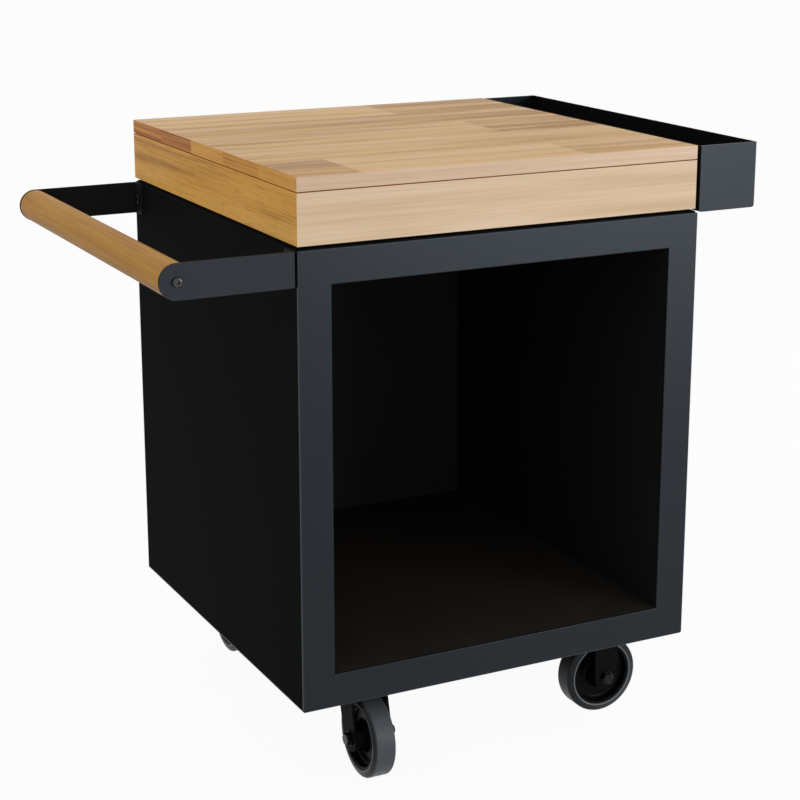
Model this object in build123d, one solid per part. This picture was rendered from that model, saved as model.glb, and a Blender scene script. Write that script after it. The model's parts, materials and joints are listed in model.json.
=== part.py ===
from build123d import *
import os
from math import atan2, cos, hypot, pi, sin

os.makedirs("parts", exist_ok=True)

# A steel prep table on castors: a lined cabinet open at the front, a mitred wooden block with a
# worktop board, a rod handle on the left, a planter trough on the right, two swivel castors under
# the handle end and two fixed castors under the planter end.
# Millimetres, +Z up. The origin is on the floor, below the middle of the whole table.

# Cabinet
CABINET_W = 650.0
CABINET_D = 650.0
CABINET_H = 670.0
FRAME_BORDER = 50.0  # width of the front frame round the bay, and of the hollow walls behind it
PLATE_T = 3.0  # front frame, rear panel and base plate
SHEET_T = 2.0  # side panels, bay lining, deck and bearers
FRAME_CORNER_R = 3.0
FRAME_EDGE_R = 1.2
SIDE_FLANGE = 16.0  # inward fold along the top of each side panel, which carries the deck
SIDE_BEND_R = 3.0
BEARER_W = 40.0
BEARER_X = 120.0  # each bearer's middle, from the cabinet's middle
BEARER_END_GAP = 6.0
DECK_INSET = 3.0
BASE_EDGE_R = 2.4

# Wooden block and worktop
SHADOW_GAP = 6.0  # between the cabinet's top and the wood
BLOCK_INSET = 5.0  # the wood's right face, inside the cabinet's
APRON_H = 74.0
APRON_T = 40.0
GROOVE_H = 1.5
GROOVE_DEPTH = 2.5
BOARD_T = 20.0
BOARD_ARRIS_R = 1.0
STRIP_INSET = 10.0  # from the wood's faces to the plinth strips
STRIP_W = 28.0
CORNER_BLOCK = 50.0
CORNER_BLOCK_H = 56.0
BATTEN_W = 60.0
BATTEN_H = 30.0
BATTEN_X = 160.0  # each batten's middle, from the wood's middle

# Wood screws
SCREW_D = 6.0
SCREW_HEAD_D = 12.0
SCREW_HEAD_H = 3.5
SCREW_DOME_R = 1.8
APRON_SCREW_BITE = 40.0  # depth in the wood
APRON_SCREW_SPREAD = 180.0
BOARD_SCREW_BITE = 11.0
BOARD_SCREW_SPREAD = 200.0
PLANTER_SCREW_BITE = 27.0
PLANTER_SCREW_SPREAD = 230.0
PLANTER_SCREW_ROWS = 15.0  # each row, above and below the apron's middle

# Handle
HANDLE_REACH = 195.0  # from the side panel to the brackets' rounded ends
HANDLE_DROP = 0.5  # from the cabinet's top to the brackets' top
HANDLE_INSET = 3.0  # from the cabinet's front and rear to the brackets
BRACKET_H = 50.0
BRACKET_T = 4.0
BRACKET_BEND_R = 5.0
BRACKET_EDGE_R = 0.5
FLANGE_L = 34.0
FLANGE_CORNER_R = 6.0
FLANGE_BOLT_Y = 21.0  # from the bracket's outer face
ROD_D = 49.0
ROD_END_R = 1.5
INSERT_D = 12.0
INSERT_L = 26.0
HANDLE_BOLT_D = 8.0
HANDLE_BOLT_HEAD_D = 14.0
HANDLE_BOLT_HEAD_H = 4.4
HANDLE_BOLT_DOME_R = 2.4
SOCKET_AF = 5.0
SOCKET_DEPTH = 2.8
HANDLE_NUT_AF = 13.0
HANDLE_NUT_H = 6.5

# Planter
PLANTER_W = 100.0
PLANTER_H = 99.0
PLANTER_T = 2.0
PLANTER_BEND_R = 4.0
PLANTER_GAP = 7.0  # between the wood and the trough
SPACER_D = 20.0
DRAIN_D = 8.0
DRAIN_COUNT = 3
DRAIN_PITCH = 200.0

# Castors
WHEEL_D = 125.0
TYRE_W = 37.0
TREAD_W = 29.5
TREAD_EDGE_R = 2.0
SHOULDER_D = 108.0
TYRE_LIP_R = 1.4  # rounds the raised lip inside each shoulder
RIM_D = 101.0
RIM_INSET = 2.5  # rim's side face, inside the tyre's
RIM_LIP = 4.0
RIM_DRAFT = 2.0
WEB_T = 9.0
WEB_R = 6.0  # hollow where the web meets the rim and the hub
HUB_D = 38.0
HUB_FOOT_D = 46.0  # where the hub runs out into the web
HUB_L = 52.0
HUB_EDGE_R = 1.5
SLEEVE_D = 14.0
AXLE_D = 10.0
AXLE_HEX_AF = 17.0
AXLE_HEAD_H = 6.4
AXLE_NUT_H = 8.4
AXLE_TAIL = 2.0
WASHER_D = 22.0
WASHER_T = 2.0
FORK_T = 4.0
LEG_END_R = 20.0
LEG_TOP_W = 44.0
LEG_LEAN = 20.0  # how far a swivel fork's legs lean towards the axle
CROWN_GAP = 5.0  # between the wheel and the fork's crown
CROWN_BEND_R = 3.0
TRAIL = 43.0  # from the swivel axis to the axle
RACE_D = 52.0
RACE_BORE_D = 24.0
LOWER_RACE_H = 5.2
UPPER_RACE_H = 6.2
RACE_GAP = 1.6
BALL_D = 6.0
BALL_RING_D = 39.0
BALL_COUNT = 14
KINGPIN_D = 12.0
KINGPIN_HEAD_D = 22.0
KINGPIN_HEAD_H = 5.0
KINGPIN_EDGE_R = 1.6
CASTOR_PLATE_T = 3.0
CASTOR_PLATE_L = 105.0
CASTOR_PLATE_W = 85.0
CASTOR_PLATE_R = 8.0
CASTOR_HOLES_L = 80.0
CASTOR_HOLES_W = 60.0
CASTOR_BOLT_D = 8.0
CASTOR_HEX_AF = 13.0
CASTOR_HEAD_H = 5.3
CASTOR_NUT_H = 6.5
CASTOR_BOLT_TAIL = 3.0
SWIVEL_INSET_X = 132.0  # cabinet's left face to the swivel axes
FIXED_INSET_X = 89.0  # cabinet's right face to the fixed castors' middles
CASTOR_INSET_Y = 105.0  # cabinet's front and rear faces to all four castors' middles
FRONT_SWIVEL_TURN = -90.0  # the way each swivel castor trails, from +X
REAR_SWIVEL_TURN = 90.0

# Fits
HOLE_CLEAR = 0.3  # on the radius of a bolt's or screw's clearance hole
THREAD_FIT = 0.05  # on the radius of a screw in its wood or a bolt in its thread
RUN_CLEAR = 0.06  # on the radius of a bearing
HUB_SIDE_CLEAR = 0.4  # between a hub's end and a fork leg
PIN_END_CLEAR = 0.3  # between a kingpin's head and the crown
BALL_CLEAR = 0.1
BOND_LINE = 0.03  # between a tyre and its rim
HEX_CHAMFER = 0.8
SAME_PLACE = 0.01  # how near an edge or corner lies to where it is looked for

# Levels and faces worked out from the sizes above
WHEEL_R = WHEEL_D / 2
CROWN_Z0 = WHEEL_D + CROWN_GAP
CROWN_Z1 = CROWN_Z0 + FORK_T
LOWER_RACE_Z1 = CROWN_Z1 + LOWER_RACE_H
UPPER_RACE_Z0 = LOWER_RACE_Z1 + RACE_GAP
CASTOR_PLATE_Z0 = UPPER_RACE_Z0 + UPPER_RACE_H
BASE_Z0 = CASTOR_PLATE_Z0 + CASTOR_PLATE_T
BASE_Z1 = BASE_Z0 + PLATE_T
BAY_Z0 = BASE_Z0 + FRAME_BORDER
CABINET_Z1 = BASE_Z0 + CABINET_H
BAY_Z1 = CABINET_Z1 - FRAME_BORDER
DECK_Z1 = CABINET_Z1 + SHEET_T
BLOCK_Z0 = CABINET_Z1 + SHADOW_GAP
BOARD_Z0 = BLOCK_Z0 + APRON_H
WORK_Z = BOARD_Z0 + BOARD_T
PLANTER_REACH = PLANTER_GAP - BLOCK_INSET + PLANTER_W
CABINET_X = (HANDLE_REACH - PLANTER_REACH) / 2
LEFT_X = CABINET_X - CABINET_W / 2
RIGHT_X = CABINET_X + CABINET_W / 2
FRONT_Y = -CABINET_D / 2
REAR_Y = CABINET_D / 2
BAY_X0 = LEFT_X + FRAME_BORDER
BAY_X1 = RIGHT_X - FRAME_BORDER
INNER_Y0 = FRONT_Y + PLATE_T
INNER_Y1 = REAR_Y - PLATE_T
WOOD_X0 = LEFT_X
WOOD_X1 = RIGHT_X - BLOCK_INSET
WOOD_X = (WOOD_X0 + WOOD_X1) / 2
PLANTER_X0 = WOOD_X1 + PLANTER_GAP
PLANTER_X = PLANTER_X0 + PLANTER_W / 2
LEG_IN = HUB_L / 2 + HUB_SIDE_CLEAR
LEG_OUT = LEG_IN + FORK_T


def save(name, solids):
    """Write one node, from one solid or from a list of solids."""
    shape = Compound(solids) if isinstance(solids, list) else solids
    export_step(shape, f"parts/{name}.step")


def block(x0, x1, y0, y1, z0, z1):
    """A box between two opposite corners."""
    return Pos((x0 + x1) / 2, (y0 + y1) / 2, (z0 + z1) / 2) * Box(x1 - x0, y1 - y0, z1 - z0)


def rod_z(x, y, z0, z1, diameter):
    """An upright cylinder."""
    return Pos(x, y, (z0 + z1) / 2) * Cylinder(diameter / 2, z1 - z0)


def rod_y(x, z, y0, y1, diameter):
    """A cylinder along Y."""
    return Pos(x, (y0 + y1) / 2, z) * Rot(90, 0, 0) * Cylinder(diameter / 2, y1 - y0)


def rod_x(y, z, x0, x1, diameter):
    """A cylinder along X."""
    return Pos((x0 + x1) / 2, y, z) * Rot(0, 90, 0) * Cylinder(diameter / 2, x1 - x0)


def edges_at(shape, along, **place):
    """The edges along one axis whose middles lie at the given coordinates."""
    found = shape.edges().filter_by(along)
    for name, value in place.items():
        found = [edge for edge in found if abs(getattr(edge.center(), name) - value) < SAME_PLACE]
    return found


def hexagon(across_flats, height):
    """A hexagonal prism from z = 0 up, with its upper corners taken off."""
    prism = extrude(RegularPolygon(across_flats / 2, 6, major_radius=False), height)
    return chamfer(prism.faces().sort_by(Axis.Z)[-1].edges(), HEX_CHAMFER)


def wood_screw(length):
    """A pan-head screw along +Z: its head below z = 0, its shank above."""
    head = Pos(0, 0, -SCREW_HEAD_H) * extrude(Circle(SCREW_HEAD_D / 2), SCREW_HEAD_H)
    head = fillet(head.edges().sort_by(Axis.Z)[0], SCREW_DOME_R)
    return head + extrude(Circle(SCREW_D / 2), length)


def button_bolt(length):
    """A socket button-head bolt along +Z: its head below z = 0, its shank above."""
    head = Pos(0, 0, -HANDLE_BOLT_HEAD_H) * extrude(Circle(HANDLE_BOLT_HEAD_D / 2), HANDLE_BOLT_HEAD_H)
    head = fillet(head.edges().sort_by(Axis.Z)[0], HANDLE_BOLT_DOME_R)
    socket = extrude(RegularPolygon(SOCKET_AF / 2, 6, major_radius=False), SOCKET_DEPTH)
    head = head - Pos(0, 0, -HANDLE_BOLT_HEAD_H) * socket
    return head + extrude(Circle(HANDLE_BOLT_D / 2), length)


# Cabinet shell


def face_plate(y0, y1):
    """A plate as large as the cabinet's front, with slightly rounded corners."""
    plate = block(LEFT_X, RIGHT_X, y0, y1, BASE_Z0, CABINET_Z1)
    return fillet(plate.edges().filter_by(Axis.Y), FRAME_CORNER_R)


def front_frame():
    plate = face_plate(FRONT_Y, INNER_Y0) - block(BAY_X0, BAY_X1, FRONT_Y, INNER_Y0, BAY_Z0, BAY_Z1)
    face = plate.faces().sort_by(Axis.Y)[0]
    return fillet(face.edges(), FRAME_EDGE_R)


def side_panel(outer_x, inward, nuts):
    """One side panel with its top fold; inward is +1 on the left and -1 on the right."""
    x0, x1 = sorted((outer_x, outer_x + inward * SHEET_T))
    fold_x0, fold_x1 = sorted((outer_x, outer_x + inward * SIDE_FLANGE))
    panel = block(x0, x1, INNER_Y0, INNER_Y1, BASE_Z1, CABINET_Z1)
    panel += block(fold_x0, fold_x1, INNER_Y0, INNER_Y1, CABINET_Z1 - SHEET_T, CABINET_Z1)
    panel = fillet(edges_at(panel, Axis.Y, X=outer_x, Z=CABINET_Z1), SIDE_BEND_R)
    for y in nuts:
        panel -= rod_x(y, ROD_Z, x0, x1, HANDLE_BOLT_D + 2 * HOLE_CLEAR)
    return panel


def base_plate():
    plate = block(LEFT_X, RIGHT_X, INNER_Y0, INNER_Y1, BASE_Z0, BASE_Z1)
    plate = fillet(plate.edges().filter_by(Axis.Y).sort_by(Axis.Z)[:2], BASE_EDGE_R)
    for x, y in CASTOR_HOLES:
        plate -= rod_z(x, y, BASE_Z0, BASE_Z1, CASTOR_BOLT_D + 2 * HOLE_CLEAR)
    return plate


def bearers(z0, z1):
    """Two channels along Y, open below, between two levels."""
    channels = []
    for side in (-1, 1):
        x0 = CABINET_X + side * BEARER_X - BEARER_W / 2
        x1 = x0 + BEARER_W
        y0 = INNER_Y0 + BEARER_END_GAP
        y1 = INNER_Y1 - BEARER_END_GAP
        hollow = block(x0 + SHEET_T, x1 - SHEET_T, y0, y1, z0, z1 - SHEET_T)
        channels.append(block(x0, x1, y0, y1, z0, z1) - hollow)
    return channels


def bay_sheet(z0):
    """The bay's floor or ceiling, between its walls."""
    return block(BAY_X0, BAY_X1, INNER_Y0, INNER_Y1, z0, z0 + SHEET_T)


def bay_wall(x0):
    return block(x0, x0 + SHEET_T, INNER_Y0, INNER_Y1, BAY_Z0 - SHEET_T, BAY_Z1 + SHEET_T)


def top_deck():
    deck = block(
        LEFT_X + DECK_INSET,
        RIGHT_X - DECK_INSET,
        FRONT_Y + DECK_INSET,
        REAR_Y - DECK_INSET,
        CABINET_Z1,
        DECK_Z1,
    )
    for x, y in APRON_SCREWS:
        deck -= rod_z(x, y, CABINET_Z1, DECK_Z1, SCREW_D + 2 * HOLE_CLEAR)
    return deck


# Wooden block


def apron_screw_places():
    """Two screws under each apron board, in the middle of its plinth strip."""
    inset = STRIP_INSET + STRIP_W / 2
    places = []
    for offset in (-APRON_SCREW_SPREAD, APRON_SCREW_SPREAD):
        places += [(WOOD_X + offset, FRONT_Y + inset), (WOOD_X + offset, REAR_Y - inset)]
        places += [(WOOD_X0 + inset, offset), (WOOD_X1 - inset, offset)]
    return places


def ring_sides(outer_inset, width):
    """Four mitred outlines, front, rear, left and right, of a frame inside the wood's faces."""
    x0, x1 = WOOD_X0 + outer_inset, WOOD_X1 - outer_inset
    y0, y1 = FRONT_Y + outer_inset, REAR_Y - outer_inset
    outer = [(x0, y0), (x1, y0), (x1, y1), (x0, y1)]
    inner = [(x0 + width, y0 + width), (x1 - width, y0 + width)]
    inner += [(x1 - width, y1 - width), (x0 + width, y1 - width)]
    sides = {}
    for name, a, b in (("front", 0, 1), ("rear", 2, 3), ("left", 3, 0), ("right", 1, 2)):
        sides[name] = Polygon(outer[a], outer[b], inner[b], inner[a], align=None)
    return sides


def plinth_strips():
    """The strips that lift the wood off the deck and leave the dark gap round it."""
    strips = []
    for outline in ring_sides(STRIP_INSET, STRIP_W).values():
        strip = Pos(0, 0, DECK_Z1) * extrude(outline, BLOCK_Z0 - DECK_Z1)
        for x, y in APRON_SCREWS:
            strip -= rod_z(x, y, DECK_Z1, BLOCK_Z0, SCREW_D + 2 * HOLE_CLEAR)
        strips.append(strip)
    return strips


def apron_boards():
    """Four mitred boards with a groove along their outer top edges."""
    lip = block(
        WOOD_X0 + GROOVE_DEPTH,
        WOOD_X1 - GROOVE_DEPTH,
        FRONT_Y + GROOVE_DEPTH,
        REAR_Y - GROOVE_DEPTH,
        BOARD_Z0 - GROOVE_H,
        BOARD_Z0,
    )
    groove = block(WOOD_X0, WOOD_X1, FRONT_Y, REAR_Y, BOARD_Z0 - GROOVE_H, BOARD_Z0) - lip
    boards = {}
    for name, outline in ring_sides(0, APRON_T).items():
        board = Pos(0, 0, BLOCK_Z0) * extrude(outline, APRON_H) - groove
        for x, y in APRON_SCREWS:
            board -= rod_z(x, y, BLOCK_Z0, BLOCK_Z0 + APRON_SCREW_BITE, SCREW_D + 2 * THREAD_FIT)
        if name == "right":
            for y, z in PLANTER_SCREWS:
                board -= rod_x(y, z, WOOD_X1 - PLANTER_SCREW_BITE, WOOD_X1, SCREW_D + 2 * THREAD_FIT)
        boards[name] = board
    return boards


def corner_blocks():
    """Glue blocks in the four inner corners of the apron."""
    blocks = []
    for x, dx in ((WOOD_X0 + APRON_T, 1), (WOOD_X1 - APRON_T, -1)):
        for y, dy in ((FRONT_Y + APRON_T, 1), (REAR_Y - APRON_T, -1)):
            outline = Polygon((x, y), (x + dx * CORNER_BLOCK, y), (x, y + dy * CORNER_BLOCK), align=None)
            blocks.append(Pos(0, 0, BLOCK_Z0) * extrude(outline, CORNER_BLOCK_H, dir=(0, 0, 1)))
    return blocks


def apron_screws():
    length = BLOCK_Z0 - CABINET_Z1 + APRON_SCREW_BITE
    return [Pos(x, y, CABINET_Z1) * wood_screw(length) for x, y in APRON_SCREWS]


def worktop_board():
    board = block(WOOD_X0, WOOD_X1, FRONT_Y, REAR_Y, BOARD_Z0, WORK_Z)
    board = fillet(board.edges(), BOARD_ARRIS_R)
    for x, y in BOARD_SCREWS:
        board -= rod_z(x, y, BOARD_Z0, BOARD_Z0 + BOARD_SCREW_BITE, SCREW_D + 2 * THREAD_FIT)
    return board


def worktop_battens():
    """Two cross battens under the board, between the front and rear apron boards."""
    battens = []
    for side in (-1, 1):
        x = WOOD_X + side * BATTEN_X
        batten = block(
            x - BATTEN_W / 2,
            x + BATTEN_W / 2,
            FRONT_Y + APRON_T,
            REAR_Y - APRON_T,
            BOARD_Z0 - BATTEN_H,
            BOARD_Z0,
        )
        for screw_x, screw_y in BOARD_SCREWS:
            batten -= rod_z(screw_x, screw_y, BOARD_Z0 - BATTEN_H, BOARD_Z0, SCREW_D + 2 * HOLE_CLEAR)
        battens.append(batten)
    return battens


def worktop_screws():
    length = BATTEN_H + BOARD_SCREW_BITE
    return [Pos(x, y, BOARD_Z0 - BATTEN_H) * wood_screw(length) for x, y in BOARD_SCREWS]


# Handle


def front_bracket():
    """A flat arm with a rounded outer end and a flange folded on to the side panel."""
    arm = block(ROD_X, LEFT_X, BRACKET_Y, BRACKET_Y + BRACKET_T, ROD_Z - BRACKET_H / 2, ROD_Z + BRACKET_H / 2)
    arm += rod_y(ROD_X, ROD_Z, BRACKET_Y, BRACKET_Y + BRACKET_T, BRACKET_H)
    flange_y = BRACKET_Y + FLANGE_L
    flange = block(
        LEFT_X - BRACKET_T, LEFT_X, BRACKET_Y, flange_y, ROD_Z - BRACKET_H / 2, ROD_Z + BRACKET_H / 2
    )
    flange = fillet(edges_at(flange, Axis.X, Y=flange_y), FLANGE_CORNER_R)
    bracket = arm + flange
    bracket = fillet(edges_at(bracket, Axis.Z, X=LEFT_X, Y=BRACKET_Y), BRACKET_BEND_R)
    outer_face = bracket.faces().sort_by(Axis.Y)[0]
    bracket = fillet(outer_face.edges().filter_by(Axis.Z, reverse=True), BRACKET_EDGE_R)
    hole_d = HANDLE_BOLT_D + 2 * HOLE_CLEAR
    bracket -= rod_y(ROD_X, ROD_Z, BRACKET_Y, BRACKET_Y + BRACKET_T, hole_d)
    return bracket - rod_x(FLANGE_BOLT_YS[0], ROD_Z, LEFT_X - BRACKET_T, LEFT_X, hole_d)


def handle_rod():
    y1 = -BRACKET_Y - BRACKET_T
    rod = rod_y(ROD_X, ROD_Z, -y1, y1, ROD_D)
    rod = fillet(rod.edges().filter_by(GeomType.CIRCLE), ROD_END_R)
    bore_d = INSERT_D + 2 * THREAD_FIT
    rod -= rod_y(ROD_X, ROD_Z, -y1, INSERT_L - y1, bore_d)
    return rod - rod_y(ROD_X, ROD_Z, y1 - INSERT_L, y1, bore_d)


def rod_inserts():
    y1 = -BRACKET_Y - BRACKET_T
    inserts = []
    for y0 in (-y1, y1 - INSERT_L):
        insert = rod_y(ROD_X, ROD_Z, y0, y0 + INSERT_L, INSERT_D)
        inserts.append(insert - rod_y(ROD_X, ROD_Z, y0, y0 + INSERT_L, HANDLE_BOLT_D + 2 * THREAD_FIT))
    return inserts


def rod_bolts():
    bolt = button_bolt(BRACKET_T + INSERT_L)
    front = Pos(ROD_X, BRACKET_Y, ROD_Z) * Rot(-90, 0, 0) * bolt
    return [front, mirror(front, Plane.XZ)]


def flange_bolts():
    bolt = button_bolt(BRACKET_T + SHEET_T + HANDLE_NUT_H)
    return [Pos(LEFT_X - BRACKET_T, y, ROD_Z) * Rot(0, 90, 0) * bolt for y in FLANGE_BOLT_YS]


def flange_nuts():
    nut = hexagon(HANDLE_NUT_AF, HANDLE_NUT_H)
    nut -= extrude(Circle(HANDLE_BOLT_D / 2 + THREAD_FIT), HANDLE_NUT_H)
    return [Pos(LEFT_X + SHEET_T, y, ROD_Z) * Rot(0, 90, 0) * nut for y in FLANGE_BOLT_YS]


# Planter


def planter_outline(inset):
    """The trough's section, seen along Y, open at the top when inset is not zero."""
    width = PLANTER_W - 2 * inset
    height = PLANTER_H - inset
    section = Rectangle(width, height, align=(Align.CENTER, Align.MIN))
    lower = section.vertices().sort_by(Axis.Y)[:2]
    return Pos(0, inset) * fillet(lower, PLANTER_BEND_R - inset)


def planter_slice(outline, y0, y1):
    """A section of the planter drawn out along Y."""
    solid = extrude(outline, y1 - y0)
    return Pos(PLANTER_X, y1, CABINET_Z1) * Rot(90, 0, 0) * solid


def planter_trough():
    y0 = FRONT_Y + PLANTER_T
    y1 = REAR_Y - PLANTER_T
    trough = planter_slice(planter_outline(0) - planter_outline(PLANTER_T), y0, y1)
    for y, z in PLANTER_SCREWS:
        trough -= rod_x(y, z, PLANTER_X0, PLANTER_X0 + PLANTER_T, SCREW_D + 2 * HOLE_CLEAR)
    for index in range(DRAIN_COUNT):
        y = (index - (DRAIN_COUNT - 1) / 2) * DRAIN_PITCH
        trough -= rod_z(PLANTER_X, y, CABINET_Z1, CABINET_Z1 + PLANTER_T, DRAIN_D)
    return trough


def planter_spacers():
    spacers = []
    for y, z in PLANTER_SCREWS:
        spacer = rod_x(y, z, WOOD_X1, PLANTER_X0, SPACER_D)
        spacers.append(spacer - rod_x(y, z, WOOD_X1, PLANTER_X0, SCREW_D + 2 * HOLE_CLEAR))
    return spacers


def planter_screws():
    length = PLANTER_T + PLANTER_GAP + PLANTER_SCREW_BITE
    screw = Rot(0, -90, 0) * wood_screw(length)
    return [Pos(PLANTER_X0 + PLANTER_T, y, z) * screw for y, z in PLANTER_SCREWS]


# Castors, built with the swivel axis on Z, the axle along Y and the wheel trailing towards +X


def tyre():
    radius = RIM_D / 2 + BOND_LINE
    outline = Polygon(
        (radius, -TYRE_W / 2),
        (SHOULDER_D / 2, -TYRE_W / 2),
        (WHEEL_R, -TREAD_W / 2),
        (WHEEL_R, TREAD_W / 2),
        (SHOULDER_D / 2, TYRE_W / 2),
        (radius, TYRE_W / 2),
        align=None,
    )
    outline = fillet(outline.vertices().group_by(Axis.X)[-1], TREAD_EDGE_R)
    sides = [v for v in outline.vertices() if v.X < SHOULDER_D / 2 + SAME_PLACE]
    return revolve(fillet(sides, TYRE_LIP_R), Axis.Y)


def wheel_core():
    """Rim, dished web and long hub, turned about the axle."""
    bore = SLEEVE_D / 2 + RUN_CLEAR
    rim_y = TYRE_W / 2 - RIM_INSET
    lip = RIM_D / 2 - RIM_LIP
    half = [
        (bore, HUB_L / 2),
        (HUB_D / 2, HUB_L / 2),
        (HUB_FOOT_D / 2, WEB_T / 2),
        (lip - RIM_DRAFT, WEB_T / 2),
        (lip, rim_y),
        (RIM_D / 2, rim_y),
    ]
    outline = Polygon(*half, *[(x, -y) for x, y in reversed(half)], align=None)
    hollows = [v for v in outline.vertices() if abs(abs(v.Y) - WEB_T / 2) < SAME_PLACE]
    outline = fillet(hollows, WEB_R)
    corners = [v for v in outline.vertices() if abs(v.X - HUB_D / 2) < SAME_PLACE]
    return revolve(fillet(corners, HUB_EDGE_R), Axis.Y)


def leg_outline(top_x0, top_x1, top_z, axle_x):
    """A fork leg in the XZ plane: straight edges that run tangent into a round end at the axle."""

    def tangent(x, side):
        dx, dz = x - axle_x, top_z - WHEEL_R
        reach = hypot(dx, dz)
        turn = pi / 2 - atan2(LEG_END_R, (reach**2 - LEG_END_R**2) ** 0.5)
        angle = atan2(dz, dx) + side * turn
        return (axle_x + LEG_END_R * cos(angle), WHEEL_R + LEG_END_R * sin(angle))

    sides = Polygon(
        (top_x0, top_z), tangent(top_x0, 1), tangent(top_x1, -1), (top_x1, top_z), align=None
    )
    return sides + Pos(axle_x, WHEEL_R) * Circle(LEG_END_R)


def fork_legs(outline, axle_x):
    """Both legs of a fork, with their axle holes."""
    legs = []
    for y1 in (-LEG_IN, LEG_OUT):
        leg = Pos(0, y1, 0) * Rot(90, 0, 0) * extrude(outline, FORK_T)
        legs.append(leg - rod_y(axle_x, WHEEL_R, y1 - FORK_T, y1, AXLE_D + 2 * HOLE_CLEAR))
    return legs


def ball_groove():
    """The ring-shaped space that the balls run in."""
    z = (LOWER_RACE_Z1 + UPPER_RACE_Z0) / 2
    return Pos(0, 0, z) * Torus(BALL_RING_D / 2, BALL_D / 2 + BALL_CLEAR)


def race_ring(z0, z1):
    ring = rod_z(0, 0, z0, z1, RACE_D) - rod_z(0, 0, z0, z1, RACE_BORE_D)
    return ring - ball_groove()


def swivel_fork():
    top_x0 = TRAIL - LEG_LEAN - LEG_TOP_W / 2
    top_x1 = top_x0 + LEG_TOP_W
    crown = rod_z(0, 0, CROWN_Z0, CROWN_Z1, 2 * LEG_OUT)
    crown += block(0, top_x1, -LEG_OUT, LEG_OUT, CROWN_Z0, CROWN_Z1)
    fork = crown + fork_legs(leg_outline(top_x0, top_x1, CROWN_Z1, TRAIL), TRAIL)
    folds = edges_at(fork, Axis.X, Z=CROWN_Z1)
    fork = fillet(folds, CROWN_BEND_R)
    fork += race_ring(CROWN_Z1, LOWER_RACE_Z1)
    return fork - rod_z(0, 0, CROWN_Z0, CROWN_Z1, KINGPIN_D + 2 * RUN_CLEAR)


def castor_plate(bore_d):
    plate = block(
        -CASTOR_PLATE_L / 2,
        CASTOR_PLATE_L / 2,
        -CASTOR_PLATE_W / 2,
        CASTOR_PLATE_W / 2,
        CASTOR_PLATE_Z0,
        BASE_Z0,
    )
    plate = fillet(plate.edges().filter_by(Axis.Z), CASTOR_PLATE_R)
    for x, y in PLATE_HOLES:
        plate -= rod_z(x, y, CASTOR_PLATE_Z0, BASE_Z0, CASTOR_BOLT_D + 2 * HOLE_CLEAR)
    if bore_d:
        plate -= rod_z(0, 0, CASTOR_PLATE_Z0, BASE_Z0, bore_d)
    return plate


def fixed_fork():
    """Plate and legs of a fixed castor, pressed from one sheet."""
    outline = leg_outline(-LEG_TOP_W / 2, LEG_TOP_W / 2, CASTOR_PLATE_Z0, 0)
    return castor_plate(None) + fork_legs(outline, 0)


def swivel_race():
    return race_ring(UPPER_RACE_Z0, CASTOR_PLATE_Z0)


def swivel_balls():
    z = (LOWER_RACE_Z1 + UPPER_RACE_Z0) / 2
    balls = []
    for index in range(BALL_COUNT):
        angle = 2 * pi * index / BALL_COUNT
        x = BALL_RING_D / 2 * cos(angle)
        y = BALL_RING_D / 2 * sin(angle)
        balls.append(Pos(x, y, z) * Sphere(BALL_D / 2))
    return balls


def kingpin():
    head_z1 = CROWN_Z0 - PIN_END_CLEAR
    head_z0 = head_z1 - KINGPIN_HEAD_H
    head = rod_z(0, 0, head_z0, head_z1, KINGPIN_HEAD_D)
    head = fillet(head.edges().sort_by(Axis.Z)[0], KINGPIN_EDGE_R)
    return head + rod_z(0, 0, head_z1, BASE_Z0, KINGPIN_D)


def axle_set(axle_x):
    """Axle bolt, sleeve, two washers and nut, from the head at -Y to the nut at +Y."""
    washer_y = LEG_OUT + WASHER_T
    nut_y = washer_y + AXLE_NUT_H
    lay = Pos(axle_x, 0, WHEEL_R) * Rot(-90, 0, 0)
    head = lay * Pos(0, 0, -washer_y) * Rot(180, 0, 0) * hexagon(AXLE_HEX_AF, AXLE_HEAD_H)
    bolt = head + rod_y(axle_x, WHEEL_R, -washer_y, nut_y + AXLE_TAIL, AXLE_D)
    nut = lay * Pos(0, 0, washer_y) * hexagon(AXLE_HEX_AF, AXLE_NUT_H)
    nut -= rod_y(axle_x, WHEEL_R, washer_y, nut_y, AXLE_D + 2 * THREAD_FIT)
    solids = [bolt, nut]
    for y0, y1, outer_d in (
        (-LEG_IN, LEG_IN, SLEEVE_D),
        (-washer_y, -LEG_OUT, WASHER_D),
        (LEG_OUT, washer_y, WASHER_D),
    ):
        ring = rod_y(axle_x, WHEEL_R, y0, y1, outer_d)
        solids.append(ring - rod_y(axle_x, WHEEL_R, y0, y1, AXLE_D + 2 * HOLE_CLEAR))
    return solids


def castor_bolts():
    length = BASE_Z1 - CASTOR_PLATE_Z0 + CASTOR_NUT_H + CASTOR_BOLT_TAIL
    bolt = Rot(180, 0, 0) * hexagon(CASTOR_HEX_AF, CASTOR_HEAD_H) + extrude(Circle(CASTOR_BOLT_D / 2), length)
    return [Pos(x, y, CASTOR_PLATE_Z0) * bolt for x, y in CASTOR_HOLES]


def castor_nuts():
    nut = hexagon(CASTOR_HEX_AF, CASTOR_NUT_H)
    nut -= extrude(Circle(CASTOR_BOLT_D / 2 + THREAD_FIT), CASTOR_NUT_H)
    return [Pos(x, y, BASE_Z1) * nut for x, y in CASTOR_HOLES]


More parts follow.
